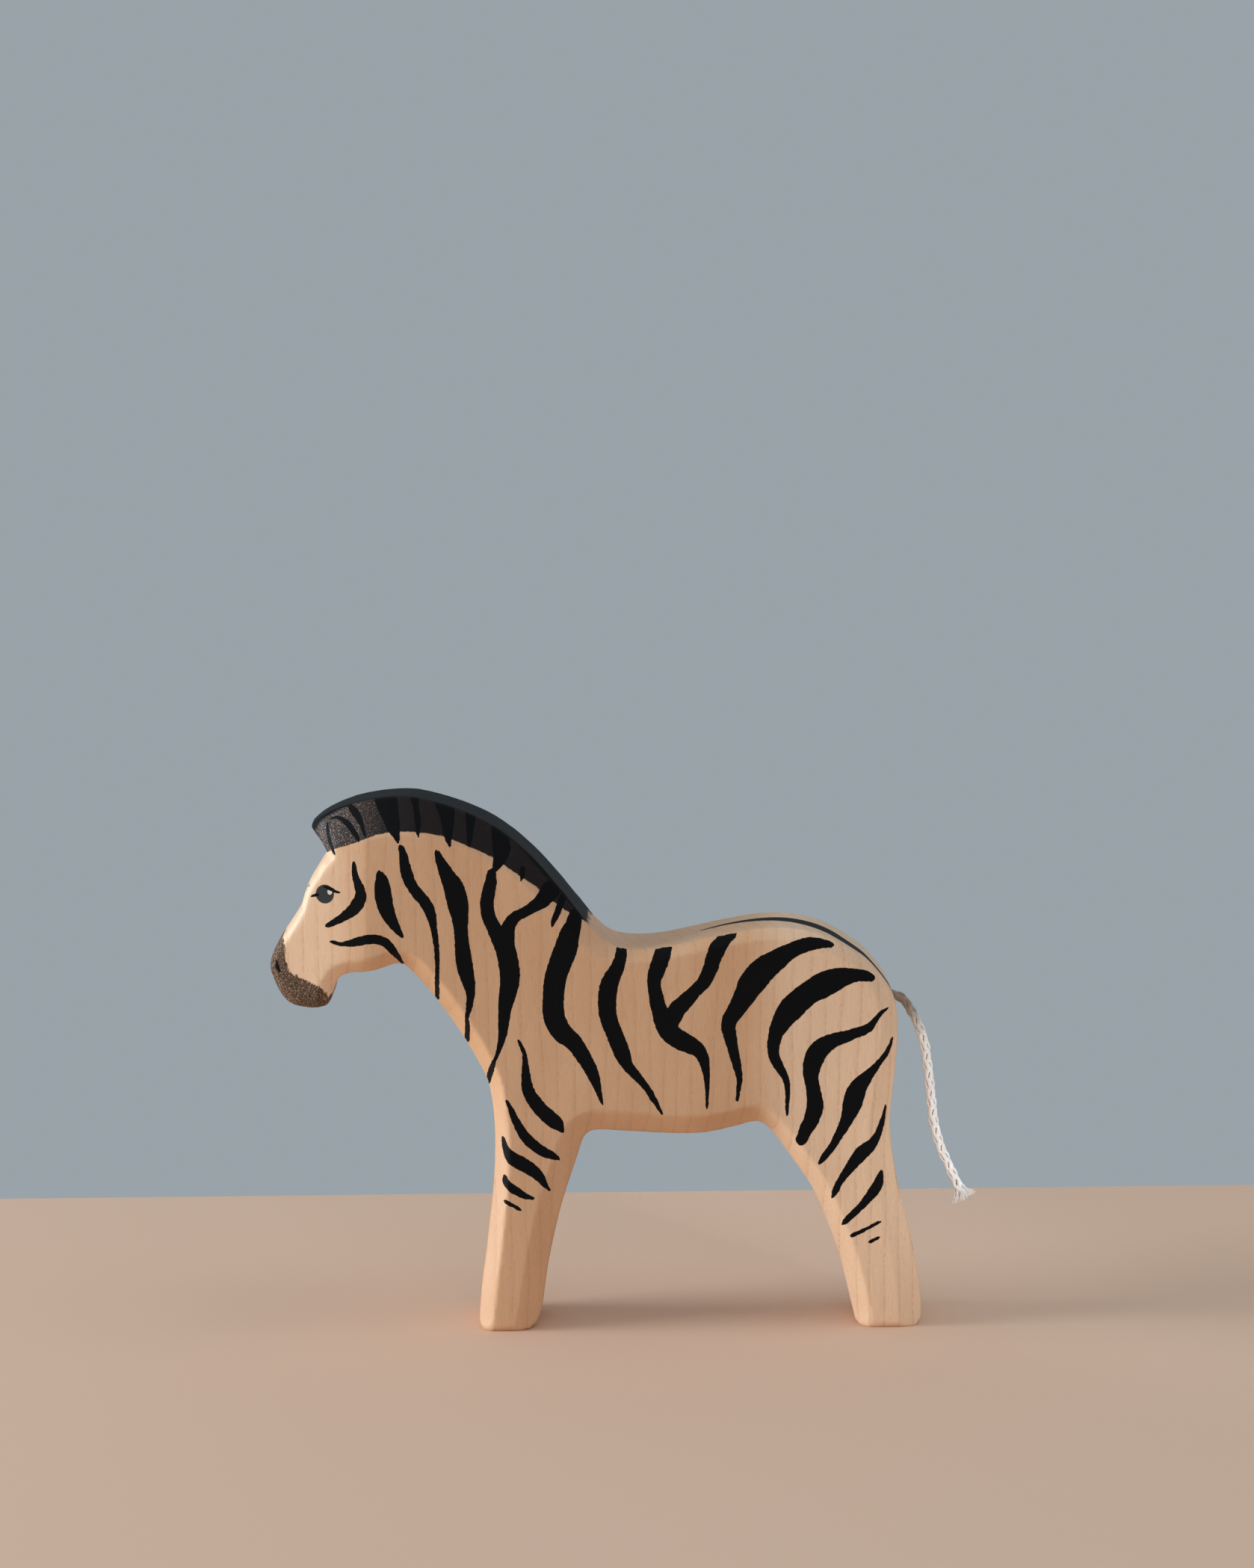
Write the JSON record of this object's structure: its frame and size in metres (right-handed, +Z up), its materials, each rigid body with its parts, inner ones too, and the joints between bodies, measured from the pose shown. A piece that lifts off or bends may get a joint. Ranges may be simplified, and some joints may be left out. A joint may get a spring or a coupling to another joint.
{
  "type": "wooden zebra figurine",
  "caption": "Standing zebra figurine sawn and carved from one plank of pale wood, painted with stripes, with a braided cord tail set in its rump.",
  "frame": {"origin": "on the surface the figure stands on, below the middle of the body's length and thickness", "axes": "+X from the muzzle towards the rump, +Y from the figure's left side to its right side, +Z up"},
  "size_m": [0.1899, 0.028, 0.1481],
  "materials": {
    "carved_wood": "fine sanded and oiled, with matt black water-based paint",
    "braided_cotton": "undyed braided cotton cord"
  },
  "bodies": {
    "root": {"zebra_body": "carved_wood", "tail_cord": "braided_cotton"}
  },
  "joints": []
}
